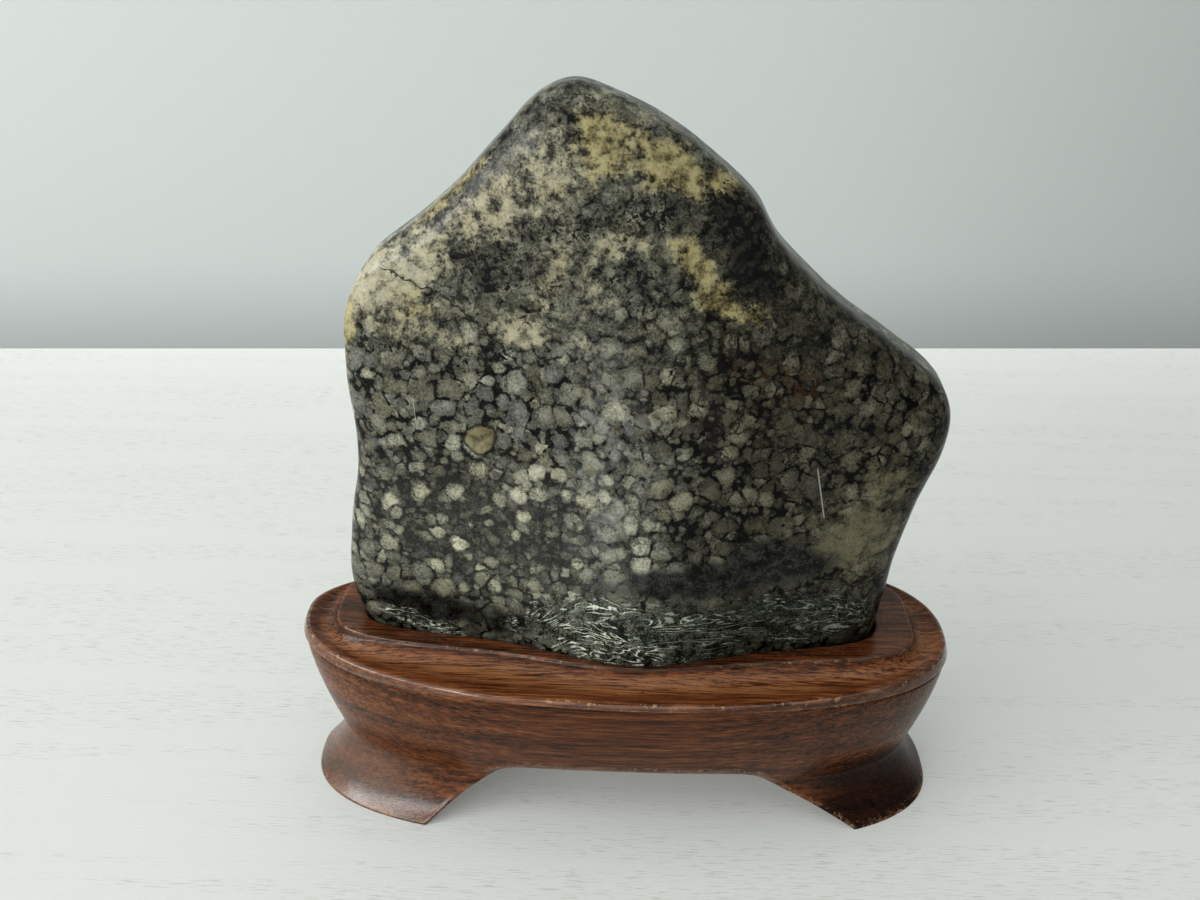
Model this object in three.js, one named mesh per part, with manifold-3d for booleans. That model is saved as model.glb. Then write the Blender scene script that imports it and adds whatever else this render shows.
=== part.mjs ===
import * as THREE from 'three';
import { mergeVertices } from 'three/addons/utils/BufferGeometryUtils.js';
import Module from 'manifold-3d';

// A scholar's rock on its carved rosewood stand, in millimetres.
// +Z is up, +X runs along the stand to the right and the front faces -Y.

const wasm = await Module();
wasm.setup();

const AROUND = 72; // points round each ring of the stand
const OUTLINE_STEPS = 84; // points round the stone's outline

// Stand
const RIM_TOP = 41.6; // height of the rim's upper edge at the middle
const RIM_SLOPE = 0.016; // the hand-cut top falls this much per millimetre towards the right
const WAIST_HEIGHT = 12.5;
const ARCH_HEIGHT = 14.5;
const FOOT_SHIFT = -0.6; // the feet sit a little to the left of the rim
const ARCH_LEFT_TOE = -45.8; // where the arch meets the table, the left foot being the longer
const ARCH_RIGHT_TOE = 55.5;
const COLLAR_RISE = 2.6; // the collar's ridge above the rim
const FRONT_OVERHANG = 1.85; // the belly's extra depth at the front, so that the whole sits centred

// Stone
const STONE_CENTRE = new THREE.Vector2(4, 92);
const STONE_FOOT = 40.4; // underside of the stone
const SEAT_FLOOR = 40.0;
const SEAT_CLEARANCE = 0.45;
const EDGE_POWER = 4.2; // how squarely the polished edges turn

const bell = (x, centre, width) => Math.exp(-(((x - centre) / width) ** 2));

// A closed plan curve: a superellipse whose front and back depths may differ,
// with an optional belly that follows the stone's bulge at the front.
function planPoint(plan, angle) {
  const c = Math.cos(angle);
  const s = Math.sin(angle);
  const reach = (Math.abs(c) ** plan.power + Math.abs(s) ** plan.power) ** (-1 / plan.power);
  const x = plan.half * c * reach;
  const lean = (plan.lean ?? 0) * (x / plan.half);
  const belly = (plan.belly ?? 0) * bell(x, 3, 24);
  const depth = s < 0 ? plan.front + belly : plan.back + lean;
  return new THREE.Vector2(x, depth * s * reach);
}

const RIM_PLAN = { half: 75, front: 31.2, back: 27.5, power: 2.3, lean: 7 };
const COLLAR_PLAN = { half: 67.2, front: 17.3, back: 17.8, power: 4, belly: 5.2, lean: 4 };

// Foot, waist and flaring side of the stand: height, half length, front depth, squareness.
const SIDE_LEVELS = [
  [0, 74.8, 29.6, 2.6],
  [0.8, 75.3, 30.1, 2.6],
  [2.6, 74.2, 29.1, 2.55],
  [5, 72.3, 27.3, 2.45],
  [8, 70.2, 25.5, 2.4],
  [WAIST_HEIGHT, 69, 24.3, 2.4],
  [16, 69.6, 24.7, 2.4],
  [20, 71, 25.8, 2.4],
  [25, 73, 27.6, 2.35],
  [30, 74.7, 29.3, 2.3],
  [34.5, 75.9, 30.6, 2.3],
  [37, 76.2, 31.1, 2.3],
];

// Rim band, dished shelf and the cove up to the collar: share of the way in, height above the rim.
const SHELF_LEVELS = [
  [0.0, 0.0],
  [0.06, 0.3],
  [0.2, 0.25],
  [0.4, -0.1],
  [0.6, -0.1],
  [0.76, 0.5],
  [0.88, 1.4],
  [0.96, 2.2],
  [1.0, COLLAR_RISE],
];

const leanTop = (x, z) => z - RIM_SLOPE * x * (z / RIM_TOP);

function ring(pointAt) {
  const points = [];
  for (let i = 0; i < AROUND; i++) {
    const point = pointAt((i / AROUND) * Math.PI * 2);
    points.push(new THREE.Vector3(point.x, point.y, leanTop(point.x, point.z)));
  }
  return points;
}

function sideRing([z, half, depth, power]) {
  const share = depth / RIM_PLAN.front;
  const plan = { half, front: depth, back: RIM_PLAN.back * share, power, lean: RIM_PLAN.lean * share };
  const shift = FOOT_SHIFT * Math.max(0, 1 - z / WAIST_HEIGHT);
  return ring((angle) => {
    const p = planPoint(plan, angle);
    return new THREE.Vector3(p.x + shift, p.y, z);
  });
}

// Lower edge of the rim band, thin at the front and deepest at the right end.
function bandRing(widen, drop) {
  const plan = { ...RIM_PLAN, half: RIM_PLAN.half + widen, front: RIM_PLAN.front + widen };
  return ring((angle) => {
    const p = planPoint(plan, angle);
    const along = p.x / plan.half;
    const depth = 1.6 + 0.7 * along + along ** 2;
    return new THREE.Vector3(p.x, p.y, RIM_TOP - drop * depth);
  });
}

function shelfRing([inward, rise]) {
  return ring((angle) => {
    const p = planPoint(RIM_PLAN, angle).lerp(planPoint(COLLAR_PLAN, angle), inward);
    return new THREE.Vector3(p.x, p.y, RIM_TOP + rise);
  });
}

// The collar's top, falling a little towards the seat.
function collarRing(scale, rise) {
  return ring((angle) => {
    const p = planPoint(COLLAR_PLAN, angle).multiplyScalar(scale);
    return new THREE.Vector3(p.x, p.y, RIM_TOP + rise);
  });
}

// A closed skin over rings of equal count, each end closed by a fan to its middle.
function loft(rings) {
  const count = rings[0].length;
  const points = rings.flat();
  const middle = (r) => r.reduce((sum, p) => sum.add(p), new THREE.Vector3()).divideScalar(count);
  points.push(middle(rings[0]), middle(rings.at(-1)));
  const first = points.length - 2;
  const last = points.length - 1;
  const index = [];
  for (let i = 0; i < count; i++) {
    const j = (i + 1) % count;
    index.push(first, j, i);
    for (let r = 0; r + 1 < rings.length; r++) {
      const low = r * count;
      const high = low + count;
      index.push(low + i, low + j, high + j);
      index.push(low + i, high + j, high + i);
    }
    const top = (rings.length - 1) * count;
    index.push(last, top + i, top + j);
  }
  const geometry = new THREE.BufferGeometry().setFromPoints(points);
  geometry.setIndex(index);
  return geometry;
}

function toSolid(geometry) {
  const bare = geometry.clone();
  bare.deleteAttribute('normal');
  bare.deleteAttribute('uv');
  const merged = mergeVertices(bare, 1e-4);
  return new wasm.Manifold(
    new wasm.Mesh({
      numProp: 3,
      vertProperties: new Float32Array(merged.attributes.position.array),
      triVerts: new Uint32Array(merged.index.array),
    }),
  );
}

function toGeometry(solid) {
  const mesh = solid.getMesh();
  const geometry = new THREE.BufferGeometry();
  geometry.setAttribute('position', new THREE.BufferAttribute(mesh.vertProperties, 3));
  geometry.setIndex(new THREE.BufferAttribute(mesh.triVerts, 1));
  const faceted = geometry.toNonIndexed();
  faceted.computeVertexNormals();
  return faceted;
}

// Everything above a height, wide enough for the stone.
function above(height) {
  const box = new THREE.BoxGeometry(200, 100, 200);
  box.translate(0, 0, height + 100);
  return toSolid(box);
}

// Outline of the stone seen from the front: shoulder, peak, long right slope and right shoulder.
const stoneOutline = new THREE.CatmullRomCurve3(
  [
    [-57.4, 40], [-62.6, 53], [-61.6, 70], [-58.4, 88], [-59.3, 108], [-58.2, 120.5],
    [-52.8, 131.2], [-42.5, 139.3], [-33.8, 146.8], [-25.4, 155.8], [-17.6, 163.9], [-11, 166.6],
    [-5, 165.2], [6.2, 159.8], [18.2, 150.8], [25.6, 143.6], [30.6, 135.4], [43, 123.2],
    [57.5, 112.5], [66, 105.3], [69.2, 98.3], [68.4, 89], [64.4, 77], [61.3, 63],
    [59.6, 50], [57.2, 40], [46, 27], [0, 22], [-46, 27],
  ].map(([x, z]) => new THREE.Vector3(x, 0, z)),
  true,
  'centripetal',
);

const stoneFront = (x, z) =>
  12.6 - 0.0005 * (z - 70) ** 2 + 9.4 * bell(x, 3, 24) * Math.exp(-(z - 44) / 62);
const stoneBack = (x, z) => 16.5 - 0.0007 * (z - 62) ** 2;
const stoneMiddle = (x) => 1.8 + 2.5 * (x / 61);

// The stone as nested outlines that swell from the rim to both faces; grow fattens it evenly.
function stoneBlank(grow) {
  const shares = [0.22, 0.42, 0.58, 0.71, 0.81, 0.89, 0.945, 0.98];
  const ringAt = (share, side) => {
    const points = [];
    for (let i = 0; i < OUTLINE_STEPS; i++) {
      const edge = stoneOutline.getPointAt(i / OUTLINE_STEPS);
      const arm = new THREE.Vector2(edge.x, edge.z).sub(STONE_CENTRE);
      arm.setLength(arm.length() + grow);
      const at = arm.multiplyScalar(share).add(STONE_CENTRE);
      const swell = (1 - share ** EDGE_POWER) ** (1 / EDGE_POWER);
      const middle = stoneMiddle(at.x);
      const face = side < 0 ? -stoneFront(at.x, at.y) - grow : stoneBack(at.x, at.y) + grow;
      points.push(new THREE.Vector3(at.x, middle + swell * (face - middle), at.y));
    }
    return points;
  };
  const front = shares.map((share) => ringAt(share, -1));
  const back = shares.map((share) => ringAt(share, 1)).reverse();
  return loft([...front, ringAt(1, -1), ...back]);
}

function buildStone() {
  const solid = toSolid(stoneBlank(0)).intersect(above(STONE_FOOT));
  const polished = new THREE.MeshStandardMaterial({ color: 0x3c3f36, roughness: 0.25, metalness: 0 });
  const mesh = new THREE.Mesh(toGeometry(solid), polished);
  mesh.name = 'stone';
  return mesh;
}

// The open space between the two feet, cut straight through from front to back.
function archCutter() {
  const shape = new THREE.Shape();
  shape.moveTo(ARCH_LEFT_TOE - 1.2, -1);
  shape.lineTo(ARCH_LEFT_TOE, 0);
  shape.lineTo(-33.5, 10.4);
  shape.quadraticCurveTo(-28.6, ARCH_HEIGHT, -22, ARCH_HEIGHT);
  shape.lineTo(26, ARCH_HEIGHT);
  shape.quadraticCurveTo(32.5, ARCH_HEIGHT, 37.5, 11.1);
  shape.lineTo(ARCH_RIGHT_TOE, 0);
  shape.lineTo(ARCH_RIGHT_TOE + 1.6, -1);
  shape.closePath();
  const geometry = new THREE.ExtrudeGeometry(shape, { depth: 90, bevelEnabled: false, curveSegments: 8 });
  geometry.rotateX(Math.PI / 2);
  geometry.translate(0, 45, 0);
  return toSolid(geometry);
}

function buildStand() {
  const rings = [
    ...SIDE_LEVELS.map(sideRing),
    bandRing(1.0, 1.25),
    bandRing(1.25, 1.0),
    bandRing(0.6, 0.25),
    ...SHELF_LEVELS.map(shelfRing),
    collarRing(0.97, COLLAR_RISE + 0.1),
    collarRing(0.8, COLLAR_RISE - 0.2),
    collarRing(0.4, COLLAR_RISE - 0.2),
  ];
  const seat = toSolid(stoneBlank(SEAT_CLEARANCE)).intersect(above(SEAT_FLOOR));
  const solid = toSolid(loft(rings)).subtract(archCutter()).subtract(seat);
  const rosewood = new THREE.MeshStandardMaterial({ color: 0x5a2c18, roughness: 0.35, metalness: 0 });
  const mesh = new THREE.Mesh(toGeometry(solid), rosewood);
  mesh.name = 'stand';
  return mesh;
}

const scholarsRock = new THREE.Group();
scholarsRock.name = 'scholars_rock';
scholarsRock.add(buildStand(), buildStone());
for (const piece of scholarsRock.children) piece.geometry.translate(0, FRONT_OVERHANG, 0);

export default scholarsRock;
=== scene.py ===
import bpy, bmesh, math
import numpy as np
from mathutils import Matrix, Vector, noise


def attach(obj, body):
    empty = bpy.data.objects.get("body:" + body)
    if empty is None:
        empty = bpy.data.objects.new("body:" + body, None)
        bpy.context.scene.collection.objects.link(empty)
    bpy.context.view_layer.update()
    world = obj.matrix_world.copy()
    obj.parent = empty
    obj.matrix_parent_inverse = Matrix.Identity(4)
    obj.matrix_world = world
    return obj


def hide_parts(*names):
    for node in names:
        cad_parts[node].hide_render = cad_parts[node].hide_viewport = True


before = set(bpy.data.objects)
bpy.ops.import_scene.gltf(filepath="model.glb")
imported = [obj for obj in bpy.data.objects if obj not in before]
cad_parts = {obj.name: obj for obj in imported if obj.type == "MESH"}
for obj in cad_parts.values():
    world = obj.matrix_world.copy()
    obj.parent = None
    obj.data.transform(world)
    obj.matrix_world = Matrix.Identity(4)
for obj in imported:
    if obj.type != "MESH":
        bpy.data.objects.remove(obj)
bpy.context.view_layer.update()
print("frame loaded, nodes:", sorted(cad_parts))
mm = 0.001


# node helpers
class Wire:
    # a socket that can stand in a Python sum
    def __init__(self, graph, socket):
        self.graph = graph
        self.socket = socket

    def __add__(self, other):
        return self.graph.sum("ADD", self, other)

    def __radd__(self, other):
        return self.graph.sum("ADD", other, self)

    def __sub__(self, other):
        return self.graph.sum("SUBTRACT", self, other)

    def __rsub__(self, other):
        return self.graph.sum("SUBTRACT", other, self)

    def __mul__(self, other):
        return self.graph.sum("MULTIPLY", self, other)

    def __rmul__(self, other):
        return self.graph.sum("MULTIPLY", other, self)

    def __truediv__(self, other):
        return self.graph.sum("DIVIDE", self, other)

    def __rtruediv__(self, other):
        return self.graph.sum("DIVIDE", other, self)

    def __pow__(self, other):
        return self.graph.sum("POWER", self, other)

    def __rpow__(self, other):
        return self.graph.sum("POWER", other, self)

    def __neg__(self):
        return self.graph.sum("MULTIPLY", self, -1.0)

    def __abs__(self):
        return self.graph.sum("ABSOLUTE", self)


class Graph:
    def __init__(self, tree):
        self.tree = tree
        self.count = 0

    # one way to make any node: its type, its settings first, then its sockets
    def make(self, kind, settings=None, values=None):
        node = self.tree.nodes.new(kind)
        node.location = (220 * (self.count // 12), -160 * (self.count % 12))
        self.count += 1
        for name, setting in (settings or {}).items():
            if name == "stops":
                ramp = node.color_ramp
                while len(ramp.elements) < len(setting):
                    ramp.elements.new(0.5)
                for element, (place, colour) in zip(ramp.elements, setting):
                    element.position = place
                    element.color = (*colour, 1.0)
            else:
                setattr(node, name, setting)
        for name, value in (values or {}).items():
            socket = self.find(node.inputs, name)
            if isinstance(value, Wire):
                self.tree.links.new(value.socket, socket)
            else:
                socket.default_value = value
        return node

    def find(self, sockets, name):
        if isinstance(name, int):
            return sockets[name]
        return next(s for s in sockets if s.name == name and s.enabled)

    def out(self, node, name):
        return Wire(self, self.find(node.outputs, name))

    def get(self, kind, name, settings=None, values=None):
        return self.out(self.make(kind, settings, values), name)

    def sum(self, operation, *terms, clamp=False):
        node = self.make("ShaderNodeMath", {"operation": operation, "use_clamp": clamp},
                         {i: t if isinstance(t, Wire) else float(t) for i, t in enumerate(terms)})
        return Wire(self, node.outputs[0])

    def vector(self, operation, a, b=None, scale=None):
        values = {0: a}
        if b is not None:
            values[1] = b
        if scale is not None:
            values["Scale"] = scale
        node = self.make("ShaderNodeVectorMath", {"operation": operation}, values)
        return Wire(self, node.outputs[0])

    def lengthOf(self, a):
        node = self.make("ShaderNodeVectorMath", {"operation": "LENGTH"}, {0: a})
        return Wire(self, node.outputs[1])

    def split(self, a):
        node = self.make("ShaderNodeSeparateXYZ", None, {0: a})
        return [Wire(self, s) for s in node.outputs]

    # the three numbers of a colour
    def channels(self, colour):
        node = self.make("ShaderNodeSeparateColor", None, {0: colour})
        return [Wire(self, s) for s in node.outputs]

    # one number as a grey colour
    def grey(self, value):
        return self.get("ShaderNodeCombineColor", "Color", None, {0: value, 1: value, 2: value})

    def join(self, x, y, z):
        node = self.make("ShaderNodeCombineXYZ", None, {0: x, 1: y, 2: z})
        return Wire(self, node.outputs[0])

    # 0 at low, 1 at high, smooth between; low may be the larger
    def ease(self, value, low, high):
        return self.get("ShaderNodeMapRange", "Result", {"interpolation_type": "SMOOTHSTEP"},
                        {"Value": value, "From Min": low, "From Max": high, "To Min": 0.0, "To Max": 1.0})

    def mix(self, factor, a, b, mode="MIX"):
        return self.get("ShaderNodeMix", "Result", {"data_type": "RGBA", "blend_type": mode},
                        {"Factor": factor,
                         "A": a if isinstance(a, Wire) else (*a, 1.0),
                         "B": b if isinstance(b, Wire) else (*b, 1.0)})

    def blend(self, factor, a, b):
        return a + (b - a) * factor

    def noise(self, at, scale, detail=2.0, rough=0.5, twist=0.0, name="Fac"):
        return self.get("ShaderNodeTexNoise", name, {"noise_dimensions": "3D"},
                        {"Vector": at, "Scale": scale, "Detail": detail, "Roughness": rough,
                         "Distortion": twist})

    def largest(self, *terms):
        result = terms[0]
        for term in terms[1:]:
            result = self.sum("MAXIMUM", result, term)
        return result

    # one colour times another
    def times(self, a, b):
        return self.mix(1.0, a, b, "MULTIPLY")

    # a place moved by a share of a vector
    def moved(self, start, shift, scale):
        return self.vector("ADD", start, self.vector("SCALE", shift, scale=scale))

    # how far a point is from the nearest cell wall or, with F1, from the nearest cell's middle
    def cells(self, at, scale, feature="DISTANCE_TO_EDGE"):
        return self.get("ShaderNodeTexVoronoi", "Distance", {"feature": feature},
                        {"Vector": at, "Scale": scale})

    # a mask that is stored on the mesh
    def mask(self, name):
        return self.get("ShaderNodeAttribute", "Fac", {"attribute_name": name})


def newMaterial(name):
    material = bpy.data.materials.new(name)
    material.use_nodes = True
    material.node_tree.nodes.clear()
    return material, Graph(material.node_tree)


def finishMaterial(g, surface):
    g.make("ShaderNodeOutputMaterial", None, {"Surface": surface})


# Object coordinates, in millimetres
def place(g):
    here = g.get("ShaderNodeTexCoord", "Object")
    return g.vector("SCALE", here, scale=1 / mm)


def smoothStep(value, low, high):
    t = np.clip((value - low) / (high - low), 0, 1)
    return t * t * (3 - 2 * t)


# stone shape
stone = {
    "centre": (4.0, 92.0),
    "edgePower": 4.2,
    "forward": 1.85,
    "foot": 40.4,
    "around": 420,
    "rows": 200,
    "waviness": 0.9,
    "wavelength": 26.0,
    "seed": 7.0,
    # the front and back faces: the most depth, how fast it falls away from its own height, and that height
    "front": {"depth": 12.6, "fall": 0.0005, "height": 70.0},
    "back": {"depth": 16.5, "fall": 0.0007, "height": 62.0},
    # the front's belly: its depth at the height given, where along, how wide, and how slowly it fades upwards
    "belly": {"depth": 9.4, "x": 3.0, "wide": 24.0, "height": 44.0, "tall": 62.0},
    "middleDepth": 1.8,
    "middleTurn": 2.5 / 61,
    # the outline seen from the front, clockwise from the left of the foot, x and z in millimetres
    "outline": [
        (-57.4, 40), (-62.6, 53), (-61.6, 70), (-58.4, 88), (-59.3, 108), (-58.2, 120.5),
        (-52.8, 131.2), (-42.5, 139.3), (-33.8, 146.8), (-25.4, 155.8), (-17.6, 163.9), (-11, 166.6),
        (-5, 165.2), (6.2, 159.8), (18.2, 150.8), (25.6, 143.6), (30.6, 135.4), (43, 123.2),
        (57.5, 112.5), (66, 105.3), (69.2, 98.3), (68.4, 89), (64.4, 77), (61.3, 63),
        (59.6, 50), (57.2, 40), (46, 27), (0, 22), (-46, 27),
    ],
}


def outlineCurve():
    points = [Vector((x * mm, 0, z * mm)) for x, z in stone["outline"]]
    data = bpy.data.curves.new("stoneOutline", "CURVE")
    data.dimensions = "3D"
    data.resolution_u = 24
    spline = data.splines.new("BEZIER")
    spline.bezier_points.add(len(points) - 1)
    spline.use_cyclic_u = True
    for i, p in enumerate(spline.bezier_points):
        before, here, after = points[i - 1], points[i], points[(i + 1) % len(points)]
        lead = (after - before).normalized()
        p.handle_left_type = p.handle_right_type = "FREE"
        p.co = here
        p.handle_left = here - lead * (here - before).length / 3
        p.handle_right = here + lead * (after - here).length / 3
    piece = bpy.data.objects.new("stone_polished", data)
    bpy.context.scene.collection.objects.link(piece)
    return piece


# depths of the front and back faces from the middle, and the middle's own depth;
# the numbers may be node sockets or arrays
def stoneFaces(x, z, exp):
    front, back, belly = stone["front"], stone["back"], stone["belly"]
    bell = exp(-(((x - belly["x"]) / belly["wide"]) ** 2))
    swell = belly["depth"] * bell * exp(-((z - belly["height"]) / belly["tall"]))
    return (front["depth"] - front["fall"] * (z - front["height"]) ** 2 + swell,
            back["depth"] - back["fall"] * (z - back["height"]) ** 2,
            stone["middleDepth"] + x * stone["middleTurn"])


# nested outlines that swell from the rim to both faces, as in the solid it stands for
def stoneTree(material):
    tree = bpy.data.node_groups.new("stoneShape", "GeometryNodeTree")
    face = tree.interface
    face.new_socket("Geometry", in_out="INPUT", socket_type="NodeSocketGeometry")
    face.new_socket("Geometry", in_out="OUTPUT", socket_type="NodeSocketGeometry")
    named = {}
    for name, kind in (("Around", "Int"), ("Rows", "Int"), ("Edge power", "Float"), ("Forward", "Float"),
                       ("Foot height", "Float"), ("Centre", "Vector"), ("Waviness", "Float"),
                       ("Wavelength", "Float"), ("Seed", "Float")):
        socket = face.new_socket(name, in_out="INPUT", socket_type="NodeSocket" + kind)
        named[name] = socket.identifier
    g = Graph(tree)
    source = g.make("NodeGroupInput")

    def ask(name):
        return g.out(source, name)

    grid = g.make("GeometryNodeMeshGrid", None,
                  {"Size X": 1.0, "Size Y": 2.0, "Vertices X": ask("Around"), "Vertices Y": ask("Rows")})
    u, w, _ = g.split(g.get("GeometryNodeInputPosition", "Position"))
    edge = g.make("GeometryNodeSampleCurve", {"mode": "FACTOR", "data_type": "FLOAT_VECTOR"},
                  {"Curves": ask("Geometry"), "Factor": g.sum("ADD", u, 0.5, clamp=True)})
    side = g.sum("SIGN", w)
    turn = abs(w) ** 1.5 * (math.pi / 2)
    share = g.largest(g.sum("COSINE", turn), 0.0) ** (2.0 / ask("Edge power"))
    swell = g.sum("SINE", turn) ** (2.0 / ask("Edge power"))
    centre = ask("Centre")
    arm = g.vector("SUBTRACT", g.out(edge, "Position"), centre)
    at = g.vector("ADD", centre, g.vector("SCALE", arm, scale=share))
    x, _, z = g.split(g.vector("SCALE", at, scale=1 / mm))
    front, back, middle = stoneFaces(x, z, lambda power: 2.718282 ** power)
    isBack = g.sum("GREATER_THAN", side, 0.0)
    target = g.blend(isBack, -front, back)
    y = middle + swell * (target - middle) + ask("Forward")
    shaped = g.make("GeometryNodeSetPosition", None,
                    {"Geometry": g.out(grid, "Mesh"),
                     "Position": g.vector("SCALE", g.join(x, y, z), scale=mm)})
    closed = g.make("GeometryNodeMergeByDistance", None,
                    {"Geometry": g.out(shaped, "Geometry"), "Distance": 0.02 * mm})
    where = g.vector("SCALE", g.get("GeometryNodeInputPosition", "Position"), scale=1 / mm)
    shifted = g.vector("ADD", where, g.join(ask("Seed") * 31.0, 0.0, 0.0))
    wave = g.noise(shifted, 1.0 / ask("Wavelength"), 1.5, 0.45) - 0.5
    dimple = g.noise(shifted, 0.16, 2.0, 0.5) - 0.5
    push = (wave * ask("Waviness") + dimple * 0.28) * mm
    waved = g.make("GeometryNodeSetPosition", None,
                   {"Geometry": g.out(closed, "Geometry"),
                    "Offset": g.vector("SCALE", g.get("GeometryNodeInputNormal", "Normal"), scale=push)})
    px, py, pz = g.split(g.get("GeometryNodeInputPosition", "Position"))
    seated = g.make("GeometryNodeSetPosition", None,
                    {"Geometry": g.out(waved, "Geometry"),
                     "Position": g.join(px, py, g.largest(pz, ask("Foot height")))})
    smooth = g.make("GeometryNodeSetShadeSmooth", None, {"Geometry": g.out(seated, "Geometry")})
    real = g.make("GeometryNodeRealizeInstances", None, {"Geometry": g.out(smooth, "Geometry")})
    done = g.make("GeometryNodeSetMaterial", None, {"Geometry": g.out(real, "Geometry"), "Material": None})
    done.inputs["Material"].default_value = material
    g.make("NodeGroupOutput", None, {"Geometry": g.out(done, "Geometry")})
    return tree, named


def buildStone(material):
    source = outlineCurve()
    tree, named = stoneTree(material)
    modifier = source.modifiers.new("stoneShape", "NODES")
    modifier.node_group = tree
    for name, value in (("Around", stone["around"] + 1), ("Rows", stone["rows"] + 1),
                        ("Edge power", stone["edgePower"]), ("Forward", stone["forward"]),
                        ("Foot height", stone["foot"] * mm),
                        ("Centre", (stone["centre"][0] * mm, 0.0, stone["centre"][1] * mm)),
                        ("Waviness", stone["waviness"]), ("Wavelength", stone["wavelength"]),
                        ("Seed", stone["seed"])):
        modifier[named[name]] = value
    return bakeShape(source, "stone_polished")


# the evaluated shape as a plain mesh with its normals outwards
def bakeShape(source, name):
    depsgraph = bpy.context.evaluated_depsgraph_get()
    mesh = bpy.data.meshes.new_from_object(source.evaluated_get(depsgraph), depsgraph=depsgraph)
    source.modifiers.clear()
    bpy.data.objects.remove(source)
    return tidyMesh(mesh, name)


def tidyMesh(mesh, name):
    work = bmesh.new()
    work.from_mesh(mesh)
    bmesh.ops.remove_doubles(work, verts=work.verts, dist=1e-6)
    bmesh.ops.dissolve_degenerate(work, edges=work.edges, dist=1e-7)
    bmesh.ops.recalc_face_normals(work, faces=work.faces)
    work.to_mesh(mesh)
    work.free()
    mesh.name = name
    mesh.shade_smooth()
    piece = bpy.data.objects.new(name, mesh)
    bpy.context.scene.collection.objects.link(piece)
    return piece


# stand shape
stand = {
    "around": 480,
    "rimTop": 41.6,
    "slope": 0.016,
    "waist": 12.5,
    # half length, front depth and roundness: at the waist, added at the feet, added at the rim
    "profile": [(69.0, 7.0, 6.8), (24.3, 6.4, 7.7), (2.4, 0.2, -0.1)],
    "archTop": 14.5,
    # each side of the arch: where its toe is, which way it climbs, how steeply, and how round its corner is
    "archSides": [(-45.8, 1, 0.835, 2.6), (55.5, -1, 0.58, 1.6)],
    "footShift": -0.6,
    "forward": 1.85,
    "seatFloor": 40.1,
    "seatGap": 0.5,
    "rim": {"half": 75.0, "front": 31.2, "back": 27.5, "power": 2.3, "lean": 7.0},
    "collar": {"half": 67.2, "front": 17.3, "back": 17.8, "power": 4.0, "belly": 5.2, "lean": 4.0},
    # rim band: how far out of the rim's plan, how far down as a share of the band's depth, how worn
    "rimSteps": [(0.80, 1.06, 0.1), (1.10, 1.02, 0.8), (1.20, 0.93, 1.0), (1.17, 0.84, 0.7),
                 (1.02, 0.62, 0.2), (0.80, 0.38, 0.2), (0.56, 0.16, 0.7), (0.42, 0.06, 1.0),
                 (0.22, 0.0, 0.9)],
    # shelf: share of the way from rim to collar, and height over the rim
    "shelf": [(0.01, 0.05), (0.06, 0.14), (0.14, 0.16), (0.25, 0.0), (0.40, -0.28), (0.55, -0.32),
              (0.70, 0.05), (0.82, 0.68), (0.90, 1.25), (0.95, 1.72), (0.98, 2.12), (0.995, 2.42),
              (1.0, 2.54)],
    # collar's top: share of the way from collar to seat, and height over the rim
    "lip": [(0.02, 2.66), (0.08, 2.76), (0.2, 2.76), (0.45, 2.62), (0.75, 2.5), (0.93, 2.4), (0.985, 2.25)],
}


# a point of a rounded plan, with the back leaning out to one end and a belly in front where it has them
def planPoint(plan, angle):
    c, s = np.cos(angle), np.sin(angle)
    power = plan["power"]
    reach = (np.abs(c) ** power + np.abs(s) ** power) ** (-1 / power)
    x = plan["half"] * c * reach
    lean = plan.get("lean", 0) * x / plan["half"]
    belly = plan.get("belly", 0) * np.exp(-((x - 3) / 24) ** 2)
    depth = np.where(s < 0, plan["front"] + belly, plan["back"] + lean)
    return x, depth * s * reach


# height of the open arch over the table at a place along the stand, zero under the feet:
# a slope up from each toe that turns into the level top with a rounded corner
def archHeight(x):
    top = stand["archTop"]
    height = np.full(np.shape(x), top)
    for toe, way, steepness, corner in stand["archSides"]:
        climb = (x - toe) * way
        sloped = -corner * np.logaddexp(-climb * steepness / corner, -top / corner)
        height = np.minimum(height, sloped)
    return np.maximum(height, 0)


# the side's plan at a height: narrowest at the waist, wider down to the feet and up to the rim
def levelPlan(z, zTop):
    foot = np.clip(1 - z / stand["waist"], 0, 1) ** 1.7
    body = np.clip((z - stand["waist"]) / (zTop - stand["waist"]), 0, 1)
    flare = 1 - (1 - body) ** 1.45
    half, front, power = (least + low * foot + high * flare for least, low, high in stand["profile"])
    share = front / stand["rim"]["front"]
    return {"half": half, "front": front, "back": stand["rim"]["back"] * share,
            "lean": stand["rim"]["lean"] * share, "power": power}


# depth of the rim band at a place along the stand
def bandDepth(x):
    along = x / stand["rim"]["half"]
    return 0.95 + 0.3 * along + 2.6 * along ** 2 / (1 + 0.6 * along ** 2)


# a smooth curve through all the points
def smoothPath(points, steps):
    path = []
    ends = [points[0]] + list(points) + [points[-1]]
    for a, b, c, d in zip(ends, ends[1:], ends[2:], ends[3:]):
        a, b, c, d = (np.array(p, float) for p in (a, b, c, d))
        for t in np.arange(steps) / steps:
            path.append(0.5 * (2 * b + (c - a) * t + (2 * a - 5 * b + 4 * c - d) * t ** 2
                               + (3 * b - a - 3 * c + d) * t ** 3))
    path.append(np.array(points[-1], float))
    return path


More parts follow.
